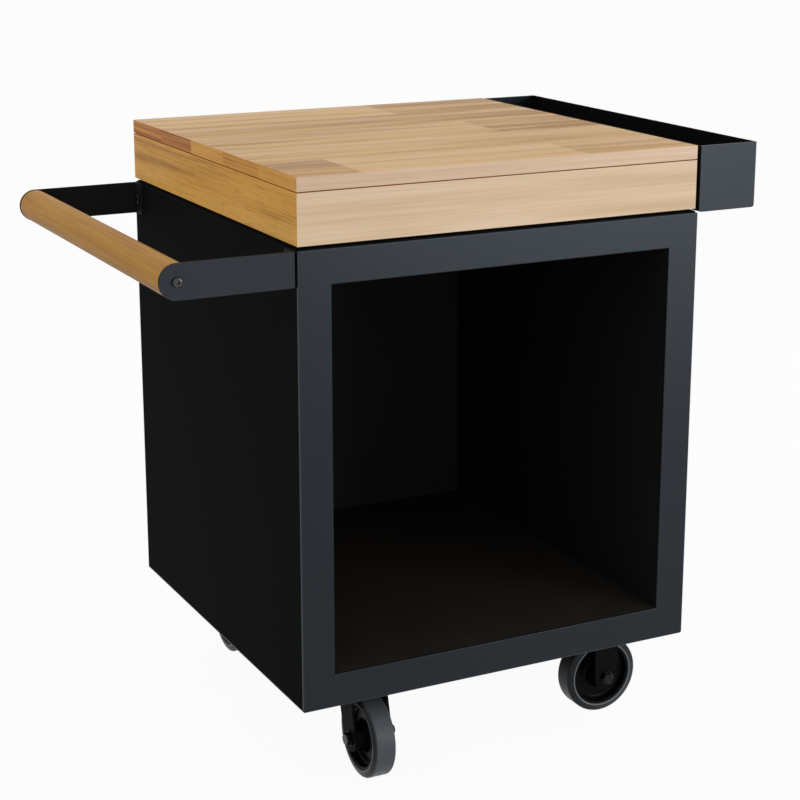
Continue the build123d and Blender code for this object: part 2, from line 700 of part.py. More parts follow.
# Places shared by several pieces
ROD_X = LEFT_X - HANDLE_REACH + BRACKET_H / 2
ROD_Z = CABINET_Z1 - HANDLE_DROP - BRACKET_H / 2
BRACKET_Y = FRONT_Y + HANDLE_INSET
FLANGE_BOLT_YS = (BRACKET_Y + FLANGE_BOLT_Y, -BRACKET_Y - FLANGE_BOLT_Y)
APRON_SCREWS = apron_screw_places()
BOARD_SCREWS = [
    (WOOD_X + side * BATTEN_X, row * BOARD_SCREW_SPREAD) for side in (-1, 1) for row in (-1, 0, 1)
]
PLANTER_SCREWS = [
    (row * PLANTER_SCREW_SPREAD, BLOCK_Z0 + APRON_H / 2 + side * PLANTER_SCREW_ROWS)
    for row in (-1, 0, 1)
    for side in (-1, 1)
]
PLATE_HOLES = [
    (side * CASTOR_HOLES_L / 2, row * CASTOR_HOLES_W / 2) for side in (-1, 1) for row in (-1, 1)
]
SWIVEL_X = LEFT_X + SWIVEL_INSET_X
FIXED_X = RIGHT_X - FIXED_INSET_X
CASTOR_Y = REAR_Y - CASTOR_INSET_Y
CASTOR_MIDDLES = [(x, y) for x in (SWIVEL_X, FIXED_X) for y in (-CASTOR_Y, CASTOR_Y)]
CASTOR_HOLES = [(x + dx, y + dy) for x, y in CASTOR_MIDDLES for dx, dy in PLATE_HOLES]

# Cabinet
save("front_frame", front_frame())
save("left_side_panel", side_panel(LEFT_X, 1, FLANGE_BOLT_YS))
save("right_side_panel", side_panel(RIGHT_X, -1, ()))
save("rear_panel", face_plate(INNER_Y1, REAR_Y))
save("base_plate", base_plate())
save("floor_bearers", bearers(BASE_Z1, BAY_Z0 - SHEET_T))
save("bay_floor", bay_sheet(BAY_Z0 - SHEET_T))
save("bay_left_wall", bay_wall(BAY_X0 - SHEET_T))
save("bay_right_wall", bay_wall(BAY_X1))
save("bay_ceiling", bay_sheet(BAY_Z1))
save("deck_bearers", bearers(BAY_Z1 + SHEET_T, CABINET_Z1))
save("top_deck", top_deck())

# Wooden block and worktop
save("plinth_strips", plinth_strips())
for side_name, side_board in apron_boards().items():
    save(f"apron_{side_name}_board", side_board)
save("apron_corner_blocks", corner_blocks())
save("apron_screws", apron_screws())
save("worktop_board", worktop_board())
save("worktop_battens", worktop_battens())
save("worktop_screws", worktop_screws())

# Handle
save("handle_front_bracket", front_bracket())
save("handle_rear_bracket", mirror(front_bracket(), Plane.XZ))
save("handle_rod", handle_rod())
save("handle_rod_inserts", rod_inserts())
save("handle_rod_bolts", rod_bolts())
save("handle_flange_bolts", flange_bolts())
save("handle_flange_nuts", flange_nuts())

# Planter
save("planter_trough", planter_trough())
save("planter_front_end", planter_slice(planter_outline(0), FRONT_Y, FRONT_Y + PLANTER_T))
save("planter_rear_end", planter_slice(planter_outline(0), REAR_Y - PLANTER_T, REAR_Y))
save("planter_spacers", planter_spacers())
save("planter_screws", planter_screws())

# Castors
for end, end_y, turn in (
    ("front", -CASTOR_Y, FRONT_SWIVEL_TURN),
    ("rear", CASTOR_Y, REAR_SWIVEL_TURN),
):
    left = f"{end}_left_castor"
    right = f"{end}_right_castor"
    fixed = Pos(SWIVEL_X, end_y, 0)
    swung = fixed * Rot(0, 0, turn)
    rolling = swung * Pos(TRAIL, 0, WHEEL_R)
    save(f"{left}_plate", fixed * castor_plate(KINGPIN_D + 2 * THREAD_FIT))
    save(f"{left}_race", fixed * swivel_race())
    save(f"{left}_balls", [fixed * ball for ball in swivel_balls()])
    save(f"{left}_kingpin", fixed * kingpin())
    save(f"{left}_fork", swung * swivel_fork())
    save(f"{left}_axle", [swung * solid for solid in axle_set(TRAIL)])
    save(f"{left}_wheel", rolling * wheel_core())
    save(f"{left}_tyre", rolling * tyre())
    fixed = Pos(FIXED_X, end_y, 0)
    rolling = fixed * Pos(0, 0, WHEEL_R)
    save(f"{right}_fork", fixed * fixed_fork())
    save(f"{right}_axle", [fixed * solid for solid in axle_set(0)])
    save(f"{right}_wheel", rolling * wheel_core())
    save(f"{right}_tyre", rolling * tyre())
save("castor_bolts", castor_bolts())
save("castor_nuts", castor_nuts())
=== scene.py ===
# %% [markdown]
# A prep table on castors, dressed in Blender.
# The CAD model already holds every piece at its real size: a steel cabinet with an open bay, a block
# of hardwood with a worktop on it, a wooden rod for a handle, a planter trough and four castors.
# This lesson gives each piece its finish and builds the worktop again out of its staves.
# All lengths are metres unless a name ends in mm or MM, and +Z is up.

# %% Load the frame
import json
from math import cos, pi, radians, sin

import bpy
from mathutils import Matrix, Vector


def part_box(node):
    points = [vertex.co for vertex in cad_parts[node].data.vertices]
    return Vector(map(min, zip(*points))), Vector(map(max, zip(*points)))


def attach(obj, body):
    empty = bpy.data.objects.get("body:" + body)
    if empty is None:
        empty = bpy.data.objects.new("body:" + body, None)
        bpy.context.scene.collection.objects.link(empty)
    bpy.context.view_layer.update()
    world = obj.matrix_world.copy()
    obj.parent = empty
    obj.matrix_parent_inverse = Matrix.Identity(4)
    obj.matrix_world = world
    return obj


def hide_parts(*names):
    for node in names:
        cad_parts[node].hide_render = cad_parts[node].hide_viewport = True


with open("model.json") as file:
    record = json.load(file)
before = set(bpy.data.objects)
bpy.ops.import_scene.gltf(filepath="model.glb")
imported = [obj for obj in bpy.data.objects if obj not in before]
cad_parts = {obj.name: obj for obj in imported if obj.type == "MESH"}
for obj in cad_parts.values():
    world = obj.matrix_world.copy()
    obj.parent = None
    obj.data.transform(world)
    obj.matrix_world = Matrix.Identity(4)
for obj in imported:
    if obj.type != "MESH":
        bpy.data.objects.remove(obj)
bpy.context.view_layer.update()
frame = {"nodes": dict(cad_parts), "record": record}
nodes = frame["nodes"]
scene = bpy.context.scene
scene.view_settings.view_transform = "Standard"

# %% [markdown]
# Three small tools serve the whole script. Colours are given as sRGB hex values, as on a paint card, but
# shaders mix light in linear values, so one function converts them.
# The second adds one node to any tree, sets it up and links it, so that each tree reads from top to
# bottom. The third starts a material and puts its constant values straight on the shader, because
# an export can drop a constant that reaches the shader through other nodes.

# %% Colour and node tools
MM = 0.001


def linear(hex_colour):
    """An sRGB hex colour as linear red, green, blue and alpha, by the sRGB standard's own curve."""
    values = []
    for start in (1, 3, 5):
        value = int(hex_colour[start:start + 2], 16) / 255
        values.append(value / 12.92 if value <= 0.04045 else ((value + 0.055) / 1.055) ** 2.4)
    return (*values, 1.0)


def add(tree, kind, inputs=None, **settings):
    """Add a node with these settings; each input is a value or another node's output socket."""
    made = tree.nodes.new(kind)
    for name, value in settings.items():
        setattr(made, name, value)
    for name, value in (inputs or {}).items():
        if isinstance(value, bpy.types.NodeSocket):
            tree.links.new(value, made.inputs[name])
        else:
            made.inputs[name].default_value = value
    return made


def start_finish(name, constants):
    """A new material, its tree and its principled shader with these constant sockets."""
    material = bpy.data.materials.new(name)
    material.use_nodes = True
    shader = material.node_tree.nodes["Principled BSDF"]
    for socket, value in constants.items():
        shader.inputs[socket].default_value = value
    return material, material.node_tree, shader


print("Mid grey is", round(linear("#808080")[0], 3), "in linear light")

# %% [markdown]
# Most of the table is coated, moulded or plated: an even colour with a fine grit that breaks up its
# shine. One function makes all of these finishes. A large soft noise shifts the colour and the
# roughness a little from place to place, as handling and dust do, and a small one raises the grit.
# A painted image could show that too, but it would need unwrapping, while Object coordinates keep
# both noises at their real size on every piece. The strip that seals the gap under the wood is the
# plainest of these finishes: dull and black all over, so that the gap stays dark.

# %% Even finishes
PATCH_DETAIL = 3.0  # how many finer layers each noise adds to its first one
GRIT_DETAIL = 2.0


def even_finish(name, pale, deep, patch_mm, grit_mm, grit_height_mm, rough, constants):
    """Two close colours in soft patches, a fine grit, and a roughness between two values."""
    material, tree, shader = start_finish(name, constants)
    place = add(tree, "ShaderNodeTexCoord").outputs["Object"]
    broad = {"Vector": place, "Scale": 1 / (patch_mm * MM), "Detail": PATCH_DETAIL}
    patches = add(tree, "ShaderNodeTexNoise", broad).outputs["Fac"]
    colours = {"Factor": patches, "A": linear(deep), "B": linear(pale)}
    colour = add(tree, "ShaderNodeMix", colours, data_type="RGBA")
    gloss = add(tree, "ShaderNodeMapRange", {"Value": patches, "To Min": rough[0], "To Max": rough[1]})
    fine = {"Vector": place, "Scale": 1 / (grit_mm * MM), "Detail": GRIT_DETAIL}
    grit = add(tree, "ShaderNodeTexNoise", fine).outputs["Fac"]
    bump = add(tree, "ShaderNodeBump", {"Height": grit, "Distance": grit_height_mm * MM})
    tree.links.new(colour.outputs["Result"], shader.inputs["Base Color"])
    tree.links.new(gloss.outputs["Result"], shader.inputs["Roughness"])
    tree.links.new(bump.outputs["Normal"], shader.inputs["Normal"])
    return material


strip = even_finish(
    "black_sealing_strip",
    pale="#0d0d0e",
    deep="#080809",
    patch_mm=20,
    grit_mm=1.0,
    grit_height_mm=0.02,
    rough=(0.8, 0.9),
    constants={"Specular IOR Level": 0.05},
)
print("The first even finish:", strip.name)

# %% [markdown]
# Edges are where a finish wears first, and the thin pale line there is also a painted highlight, which
# stands in for the light that a rounded edge would catch and shows the eye where a dark shape turns. A bevel
# in the mesh could catch that light, but the CAD pieces keep their shape, so the line is painted in the
# material: on a face of a box one distance to the box is nothing, and next to an edge a second one is small
# as well, so the smallest sum of two distances tells how near the edge is.

# %% Edge wear and painted edge highlights
EDGE_LINE_MM = 1.8  # where the pale line has faded out; it is full up to half of this


def recolour(material, amount, colour):
    """Lay another colour over a finish, by a socket that runs from 0 to 1."""
    tree = material.node_tree
    base = tree.nodes["Principled BSDF"].inputs["Base Color"]
    colours = {"Factor": amount, "A": base.links[0].from_socket, "B": colour}
    laid = add(tree, "ShaderNodeMix", colours, data_type="RGBA").outputs["Result"]
    tree.links.new(laid, base)


def box_around(*names):
    """The lowest and highest corners of the box round these nodes."""
    lows, highs = zip(*[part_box(name) for name in names])
    low = Vector([min(values) for values in zip(*lows)])
    high = Vector([max(values) for values in zip(*highs)])
    return low, high


def depths_in_box(tree, low, high):
    """How deep a point lies inside a box, from its nearest faces along x, y and z."""
    place = add(tree, "ShaderNodeTexCoord").outputs["Object"]
    away = add(tree, "ShaderNodeVectorMath", {0: place, 1: (low + high) / 2}, operation="SUBTRACT")
    beside = add(tree, "ShaderNodeVectorMath", {0: away.outputs[0]}, operation="ABSOLUTE")
    inside = {0: (high - low) / 2, 1: beside.outputs[0]}
    depth = add(tree, "ShaderNodeVectorMath", inside, operation="SUBTRACT")
    return add(tree, "ShaderNodeSeparateXYZ", {"Vector": depth.outputs[0]}).outputs


def wear_and_highlight_edges(material, low, high, colour):
    """Paler lines along the twelve edges of a box, part wear and part painted highlight, in a finish that
    covers it.
    """
    tree = material.node_tree
    x, y, z = depths_in_box(tree, low, high)
    xy = add(tree, "ShaderNodeMath", {0: x, 1: y}, operation="ADD").outputs[0]
    yz = add(tree, "ShaderNodeMath", {0: y, 1: z}, operation="ADD").outputs[0]
    zx = add(tree, "ShaderNodeMath", {0: z, 1: x}, operation="ADD").outputs[0]
    lower = add(tree, "ShaderNodeMath", {0: xy, 1: yz}, operation="MINIMUM").outputs[0]
    lowest = add(tree, "ShaderNodeMath", {0: lower, 1: zx}, operation="MINIMUM").outputs[0]
    reach = {"Value": lowest, "From Min": EDGE_LINE_MM * MM / 2, "From Max": EDGE_LINE_MM * MM}
    # Painted highlight and wear along the edges: full up to half the line's width, gone at its full width.
    edge_line_amount = add(tree, "ShaderNodeMapRange", {**reach, "To Min": 1.0, "To Max": 0.0})
    recolour(material, edge_line_amount.outputs["Result"], linear(colour))


cabinet_box = box_around("front_frame", "left_side_panel", "right_side_panel", "rear_panel")
print("Cabinet from", tuple(cabinet_box[0]), "to", tuple(cabinet_box[1]))

# %% [markdown]
# The cabinet is sheet steel with a baked polyester powder coat. On the thick plates that face the
# room the coat has flowed to a satin skin, which catches the light as a soft charcoal grey.
# The folded sheets have the fine matt coat, which looks nearly black. The frame and the trough show their
# edges most, so they have coats of their own with pale edge lines, part wear and part painted highlight.
# Powder grit is about 0.2 mm, too fine to show, so it is drawn as coarse as 1.5 mm.

# %% Powder coats
# Colours of the pale edge lines, part wear and part painted highlight.
SATIN_EDGE_LINE = "#2a2f34"
MATT_EDGE_LINE = "#26282a"

satin = {
    "pale": "#0d0f11",
    "deep": "#090a0c",
    "patch_mm": 180,
    "grit_mm": 1.5,
    "grit_height_mm": 0.02,
    "rough": (0.33, 0.39),
    "constants": {"Specular IOR Level": 0.29, "IOR": 1.5, "Specular Tint": linear("#dcedff")},
}
matt = {
    "pale": "#131414",
    "deep": "#0f1010",
    "patch_mm": 180,
    "grit_mm": 1.5,
    "grit_height_mm": 0.03,
    "rough": (0.66, 0.74),
    "constants": {"Specular IOR Level": 0.01, "IOR": 1.5},
}
satin_coat = even_finish("satin_powder_coated_steel", **satin)
matt_coat = even_finish("matt_powder_coated_steel", **matt)
frame_coat = even_finish("satin_powder_coated_frame", **satin)
wear_and_highlight_edges(frame_coat, *cabinet_box, SATIN_EDGE_LINE)
trough_coat = even_finish("matt_powder_coated_trough", **matt)
wear_and_highlight_edges(trough_coat, *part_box("planter_trough"), MATT_EDGE_LINE)
print("Powder coats:", satin_coat.name, matt_coat.name, frame_coat.name, trough_coat.name)

# %% [markdown]
# Inside the bay the coat is dusty, so the lining is paler, and the floor is browner, from what is
# pushed over it. The cabinet's panels have one face in the bay or behind its lining and one outside,
# and a second material for the inner faces would mean a change to the mesh. So the panels' coat
# looks for faces that lie deeper than the cabinet's own box, and is dusty there.

# %% Dusty bay
INSIDE_MM = 0.8  # deeper than this below the faces of a piece's box, a face is an inner one


def tint_inside(material, low, high, colour):
    """Another colour on the inner faces of a piece that fills this box."""
    tree = material.node_tree
    x, y, z = depths_in_box(tree, low, high)
    least = add(tree, "ShaderNodeMath", {0: x, 1: y}, operation="MINIMUM").outputs[0]
    least = add(tree, "ShaderNodeMath", {0: least, 1: z}, operation="MINIMUM").outputs[0]
    limits = {0: least, 1: INSIDE_MM * MM}
    inside = add(tree, "ShaderNodeMath", limits, operation="GREATER_THAN").outputs[0]
    recolour(material, inside, linear(colour))


panel_coat = even_finish("matt_powder_coated_panels", **matt)
wear_and_highlight_edges(panel_coat, *cabinet_box, MATT_EDGE_LINE)
tint_inside(panel_coat, *cabinet_box, "#282827")
lining_coat = even_finish("dusty_powder_coated_lining", **{**matt, "pale": "#20201f", "deep": "#1a1a19"})
bay_floor_coat = even_finish(
    "dusty_powder_coated_floor",
    pale="#2d2925",
    deep="#24211e",
    patch_mm=90,
    grit_mm=1.5,
    grit_height_mm=0.03,
    rough=(0.66, 0.78),
    constants={"Specular IOR Level": 0.02, "IOR": 1.5},
)
print("Dusty coats:", panel_coat.name, lining_coat.name, bay_floor_coat.name)

# %% [markdown]
# The handle's two brackets are grey and even on their outer faces, and the rest of each bracket is painted
# black as shade, which keeps the inner faces and the folded flanges dark. The brackets stand equally far
# from the middle of the table, so one finish serves both: it is grey only where a point lies as far out as
# the outer faces.

# %% Brackets with painted shade
bracket_coat_painted_shade = even_finish(
    "powder_coated_brackets_painted_shade",
    pale="#34383e",
    deep="#303439",
    patch_mm=120,
    grit_mm=1.5,
    grit_height_mm=0.02,
    rough=(0.5, 0.58),
    constants={"Specular IOR Level": 0.05, "IOR": 1.5},
)
outer_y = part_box("handle_rear_bracket")[1].y
bracket_tree = bracket_coat_painted_shade.node_tree
bracket_place = add(bracket_tree, "ShaderNodeTexCoord").outputs["Object"]
across = add(bracket_tree, "ShaderNodeSeparateXYZ", {"Vector": bracket_place}).outputs["Y"]
beside = add(bracket_tree, "ShaderNodeMath", {0: across}, operation="ABSOLUTE").outputs[0]
# Painted shade: every face that lies nearer the middle than the outer faces turns black.
limits = {0: beside, 1: outer_y - INSIDE_MM * MM}
painted_shade_faces = add(bracket_tree, "ShaderNodeMath", limits, operation="LESS_THAN").outputs[0]
recolour(bracket_coat_painted_shade, painted_shade_faces, linear("#1c1c1c"))

# %% [markdown]
# The castors are standard ones. Their forks are pressed steel with a black electrophoretic coat, which
# is thin and even and leaves a low shine, and their wheel cores are moulded nylon, which comes out of
# the mould smooth and a little glossier.

# %% Castor finishes
fork_coat = even_finish(
    "black_coated_steel",
    pale="#111213",
    deep="#0c0d0e",
    patch_mm=25,
    grit_mm=0.8,
    grit_height_mm=0.01,
    rough=(0.44, 0.54),
    constants={"Specular IOR Level": 0.02},
)
nylon = even_finish(
    "moulded_black_nylon",
    pale="#0c0d0d",
    deep="#080909",
    patch_mm=30,
    grit_mm=1.0,
    grit_height_mm=0.012,
    rough=(0.2, 0.28),
    constants={"IOR": 1.53, "Specular IOR Level": 0.03},
)
print("Castor finishes:", fork_coat.name, nylon.name)

# %% [markdown]
# The tyres are moulded rubber. The treads of the left castors are painted paler, as lit rubber, and those of
# the right castors dark, as shade, and every tyre has a thin lip that is painted pale as a highlight. A
# painted map could show that, but both lie at their own distance from the axle, so the colour follows that
# distance, from the tyre's own box.

# %% Tyres with painted light and shade
SHOULDER_MM = 57.0  # the middle of the tyre's slanting shoulder, from the axle
SHOULDER_HALF_MM = 4.2  # half of its width
SHOULDER_FADE_MM = 0.6  # over which it turns into the tread or the lip
# The lip's pale colour is a painted highlight; the left treads are painted lit and the right ones in shade.
LIP_HIGHLIGHT = "#666a6f"
TREAD_LIGHT_AND_SHADE = {"left": "#484c51", "right": "#1d1f21"}  # the left treads are painted lit, the right ones painted in shade


def rubber_with_painted_light(castor, tread):
    """Dark rubber with this castor's tread tone of painted light and shade, a lip painted pale as a
    highlight, and the shoulder between them.
    """
    material = even_finish(
        f"rubber_painted_light_{castor}",
        pale="#212326",
        deep="#1a1c1e",
        patch_mm=40,
        grit_mm=1.2,
        grit_height_mm=0.02,
        rough=(0.34, 0.44),
        constants={"IOR": 1.52, "Specular IOR Level": 0.12},
    )
    low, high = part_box(f"{castor}_tyre")
    size = high - low
    across_axle = [0.0 if length == min(size) else 1.0 for length in size]  # a tyre is narrowest along it
    tree = material.node_tree
    place = add(tree, "ShaderNodeTexCoord").outputs["Object"]
    away = add(tree, "ShaderNodeVectorMath", {0: place, 1: (low + high) / 2}, operation="SUBTRACT")
    flat = add(tree, "ShaderNodeVectorMath", {0: away.outputs[0], 1: across_axle}, operation="MULTIPLY")
    radius = add(tree, "ShaderNodeVectorMath", {0: flat.outputs[0]}, operation="LENGTH").outputs["Value"]
    shoulder = {0: radius, 1: SHOULDER_MM * MM}
    beside = add(tree, "ShaderNodeMath", shoulder, operation="SUBTRACT").outputs[0]
    apart = add(tree, "ShaderNodeMath", {0: beside}, operation="ABSOLUTE").outputs[0]
    inner_mm = SHOULDER_HALF_MM - SHOULDER_FADE_MM
    edge = {"Value": apart, "From Min": inner_mm * MM, "From Max": SHOULDER_HALF_MM * MM}
    painted_light_mask = add(tree, "ShaderNodeMapRange", edge).outputs["Result"]
    # Painted light and shade: the tread tone lies outside the shoulder, and the lip's painted highlight lies
    # inside it.
    outside = add(tree, "ShaderNodeMath", shoulder, operation="GREATER_THAN").outputs[0]
    painted_tones = {"Factor": outside, "A": linear(LIP_HIGHLIGHT), "B": linear(tread)}
    pale = add(tree, "ShaderNodeMix", painted_tones, data_type="RGBA").outputs["Result"]
    recolour(material, painted_light_mask, pale)
    return material


castors = {f"{end}_{side}_castor": tread for end in ("front", "rear") for side, tread in TREAD_LIGHT_AND_SHADE.items()}
rubbers = {f"{castor}_tyre": rubber_with_painted_light(castor, tread) for castor, tread in castors.items()}
print("Rubbers:", [rubber.name for rubber in rubbers.values()])

# %% [markdown]
# The bolts that show are black zinc under a clear sealer, so each has a small sharp highlight, and
# hands have polished the two in the handle.
# The fasteners inside the table are bright zinc, the swivel bearings hardened steel and the rod's
# threaded inserts brass. Metals keep the default IOR, because a metal's colour is its reflection.

# %% Fastener finishes
black_zinc = even_finish(
    "sealed_black_zinc_steel",
    pale="#09090a",
    deep="#060607",
    patch_mm=6,
    grit_mm=0.6,
    grit_height_mm=0.004,
    rough=(0.12, 0.18),
    constants={"Specular IOR Level": 0.2},
)
polished_zinc = even_finish(
    "hand_polished_black_zinc_steel",
    pale="#050506",
    deep="#030304",
    patch_mm=6,
    grit_mm=0.6,
    grit_height_mm=0.002,
    rough=(0.06, 0.1),
    constants={"Specular IOR Level": 0.75},
)
bearing_steel = even_finish(
    "hardened_bearing_steel",
    pale="#9a9b9e",
    deep="#85868a",
    patch_mm=8,
    grit_mm=0.6,
    grit_height_mm=0.005,
    rough=(0.22, 0.32),
    constants={"Metallic": 1.0},
)
bright_zinc = even_finish(
    "bright_zinc_steel",
    pale="#c4c6c8",
    deep="#adb0b3",
    patch_mm=6,
    grit_mm=0.6,
    grit_height_mm=0.008,
    rough=(0.3, 0.42),
    constants={"Metallic": 1.0},
)
brass = even_finish(
    "turned_brass",
    pale="#c9a35c",
    deep="#b48d48",
    patch_mm=6,
    grit_mm=0.5,
    grit_height_mm=0.006,
    rough=(0.28, 0.38),
    constants={"Metallic": 1.0},
)
fasteners = (black_zinc, polished_zinc, bearing_steel, bright_zinc, brass)
print("Fastener finishes:", [finish.name for finish in fasteners])

# %% [markdown]
# The wood is an oiled outdoor hardwood with long straight grain. Three noises, each stretched along
# the grain, stand for what the eye sees: broad figure, fine streaks and short dark pores.
# The board's own axis decides which way they are stretched, so a mitred frame shows long grain on
# every side. A knot is a soft ellipsoid, and the grain bends a little where it passes through.

# %% Grain
FIGURE_MM = (420, 24)  # length along the grain, width across it
STREAK_MM = (340, 2.6)
PORE_MM = (45, 1.4)  # real pores are 0.3 mm wide, too fine to show, so they are drawn coarser
GRAIN = ((FIGURE_MM, 2.0, 0.5), (STREAK_MM, 3.0, 0.2), (PORE_MM, 2.0, 0.0))  # size, detail and twist
KNOT_CORE = 0.2  # up to this share of its radii a knot is full, and then it fades
X_AXIS = 0
Y_AXIS = 1


def along_grain(size_mm, axis):
    """The scale that gives a noise of this length and width along one axis."""
    scale = [1 / (size_mm[1] * MM)] * 3
    scale[axis] = 1 / (size_mm[0] * MM)
    return scale


def grain_noises(tree, place, axis):
    """The figure, the streaks and the pores, stretched along one axis."""
    noises = []
    for size_mm, detail, twist in GRAIN:
        stretched = add(tree, "ShaderNodeMapping", {"Vector": place, "Scale": along_grain(size_mm, axis)})
        inputs = {"Vector": stretched.outputs[0], "Scale": 1.0, "Detail": detail, "Distortion": twist}
        noises.append(add(tree, "ShaderNodeTexNoise", inputs).outputs["Fac"])
    return noises


def near_knot(tree, place, knot_mm):
    """1 at the middle of a knot and 0 outside it, from its middle and its three radii."""
    middle_mm, radii_mm = knot_mm
    away = add(tree, "ShaderNodeVectorMath", {0: place, 1: Vector(middle_mm) * MM}, operation="SUBTRACT")
    shape = {0: away.outputs[0], 1: Vector(radii_mm) * MM}
    scaled = add(tree, "ShaderNodeVectorMath", shape, operation="DIVIDE")
    length = add(tree, "ShaderNodeVectorMath", {0: scaled.outputs[0]}, operation="LENGTH")
    fade = {"Value": length.outputs["Value"], "From Min": KNOT_CORE, "To Min": 1.0, "To Max": 0.0}
    return add(tree, "ShaderNodeMapRange", fade, interpolation_type="SMOOTHSTEP").outputs["Result"]


for size_mm in (FIGURE_MM, STREAK_MM, PORE_MM):
    print("Grain of", size_mm, "mm has the scale", [round(part, 1) for part in along_grain(size_mm, X_AXIS)])

# %% [markdown]
# One function turns the noises into wood. A colour ramp runs from the deep to the pale tone by way of a warm
# one, and the pores and the knot darken it. Staves share one material, so an attribute tells them apart and
# shifts both the pattern and the tone. A fine groove runs round the block under the worktop, and its inside
# is painted dark as shade. Oil also leaves the pores a little lower and duller, which the bump and the
# roughness follow.

# %% Oiled hardwood
WOOD_SHINE = {"IOR": 1.5, "Specular IOR Level": 0.2}
PATTERN_SHIFT = 3.0  # how far apart the lightest and the darkest stave lie in the pattern
TONE_SPREAD = 0.11  # how far a stave's tone shifts its grain towards the deep or the pale colour
NOISE_MIDDLE = 0.5
CALM_HALF = 0.18  # half of the noise's range that runs from the deep to the pale colour
LIVELY_HALF = 0.14
KNOT_BEND_MM = 6  # how far the middle of a knot pushes the grain aside
KNOT_SHARE = 0.4  # how dark that middle is
PORE_NOISE = (0.55, 0.75)  # where a pore begins, and where it is at its darkest
PORE_ROUGH = (0.42, 0.62)  # between the pores and in them
PORE_HEIGHT_MM = 0.1
RELIEF = 0.5  # the strength of the bump
GROOVE_MM = (899.25, 0.8)  # middle and half height of the groove under the worktop, above the floor


def hardwood(
    name, axis, pale, warm, deep, pore, pore_share, streak_share,
    tone=None, calm=False, knot_mm=None, groove_shade=None,
):
    """Oiled wood with its grain along one axis; tone names the attribute that tells staves apart."""
    material, tree, shader = start_finish(name, WOOD_SHINE)
    place = add(tree, "ShaderNodeTexCoord").outputs["Object"]
    if knot_mm:
        knotted = near_knot(tree, place, knot_mm)
        bend = {0: knotted, 1: [KNOT_BEND_MM * MM] * 3, 2: place}
        place = add(tree, "ShaderNodeVectorMath", bend, operation="MULTIPLY_ADD").outputs[0]
    if tone:
        stave_tone = add(tree, "ShaderNodeAttribute", attribute_name=tone).outputs["Fac"]
        shift = {0: stave_tone, 1: [PATTERN_SHIFT] * 3, 2: place}
        place = add(tree, "ShaderNodeVectorMath", shift, operation="MULTIPLY_ADD").outputs[0]
    figure, streaks, pores = grain_noises(tree, place, axis)
    shares = {"Factor": streak_share, "A": figure, "B": streaks}
    grain = add(tree, "ShaderNodeMix", shares, data_type="FLOAT").outputs["Result"]
    if tone:
        lift = {"Value": stave_tone, "To Min": -TONE_SPREAD, "To Max": TONE_SPREAD}
        lifted = add(tree, "ShaderNodeMapRange", lift)
        grain = add(tree, "ShaderNodeMath", {0: grain, 1: lifted.outputs[0]}, operation="ADD").outputs[0]
    ramp = add(tree, "ShaderNodeValToRGB", {"Fac": grain})
    half = CALM_HALF if calm else LIVELY_HALF
    ramp.color_ramp.elements[0].position = NOISE_MIDDLE - half
    ramp.color_ramp.elements[0].color = linear(deep)
    ramp.color_ramp.elements[1].position = NOISE_MIDDLE + half
    ramp.color_ramp.elements[1].color = linear(pale)
    ramp.color_ramp.elements.new(NOISE_MIDDLE).color = linear(warm)
    darkening = {"Value": pores, "From Min": PORE_NOISE[0], "From Max": PORE_NOISE[1], "To Max": pore_share}
    dark = add(tree, "ShaderNodeMapRange", darkening).outputs["Result"]
    if knot_mm:
        faint = add(tree, "ShaderNodeMath", {0: knotted, 1: KNOT_SHARE}, operation="MULTIPLY")
        dark = add(tree, "ShaderNodeMath", {0: dark, 1: faint.outputs[0]}, operation="MAXIMUM").outputs[0]
    colours = {"Factor": dark, "A": ramp.outputs["Color"], "B": linear(pore)}
    colour = add(tree, "ShaderNodeMix", colours, data_type="RGBA")
    # The inside of the groove is painted dark, as shade.
    if groove_shade:
        up = add(tree, "ShaderNodeSeparateXYZ", {"Vector": place}).outputs["Z"]
        band = {0: up, 1: GROOVE_MM[0] * MM, 2: GROOVE_MM[1] * MM}
        inside = add(tree, "ShaderNodeMath", band, operation="COMPARE").outputs[0]
        colours = {"Factor": inside, "A": colour.outputs["Result"], "B": linear(groove_shade)}
        colour = add(tree, "ShaderNodeMix", colours, data_type="RGBA")
    dulling = {"Value": pores, "To Min": PORE_ROUGH[0], "To Max": PORE_ROUGH[1]}
    gloss = add(tree, "ShaderNodeMapRange", dulling)
    height = add(tree, "ShaderNodeMath", {0: streaks, 1: dark}, operation="SUBTRACT")
    relief = {"Height": height.outputs[0], "Distance": PORE_HEIGHT_MM * MM, "Strength": RELIEF}
    bump = add(tree, "ShaderNodeBump", relief)
    tree.links.new(colour.outputs["Result"], shader.inputs["Base Color"])
    tree.links.new(gloss.outputs["Result"], shader.inputs["Roughness"])
    tree.links.new(bump.outputs["Normal"], shader.inputs["Normal"])
    return material


pale_boards = hardwood(
    "oiled_hardwood_pale",
    X_AXIS,
    pale="#d8bea1",
    warm="#cfb494",
    deep="#c5a886",
    pore="#aa8a67",
    pore_share=0.2,
    streak_share=0.4,
    groove_shade="#8f4a1e",
)
print("The first wood:", pale_boards.name, "with", len(pale_boards.node_tree.nodes), "nodes")

# %% [markdown]
# Boards from one tree still differ, and light and oil change them with time, so each place has its own wood.
# The boards at the front and rear are the pale ones, those at the sides are golden, and the left one has a
# knot near its rear end. The turned rod is warmer, and its underside is painted darker and redder than its
# top, as shade.

# %% Side boards and rod
SIDE_KNOT_MM = ((-278, 268, 888), (60, 6, 8))  # middle and radii, on the left board
UNDERSIDE_SHADE_SHARE = 0.6  # how far the rod's lowest line takes on the painted shade colour

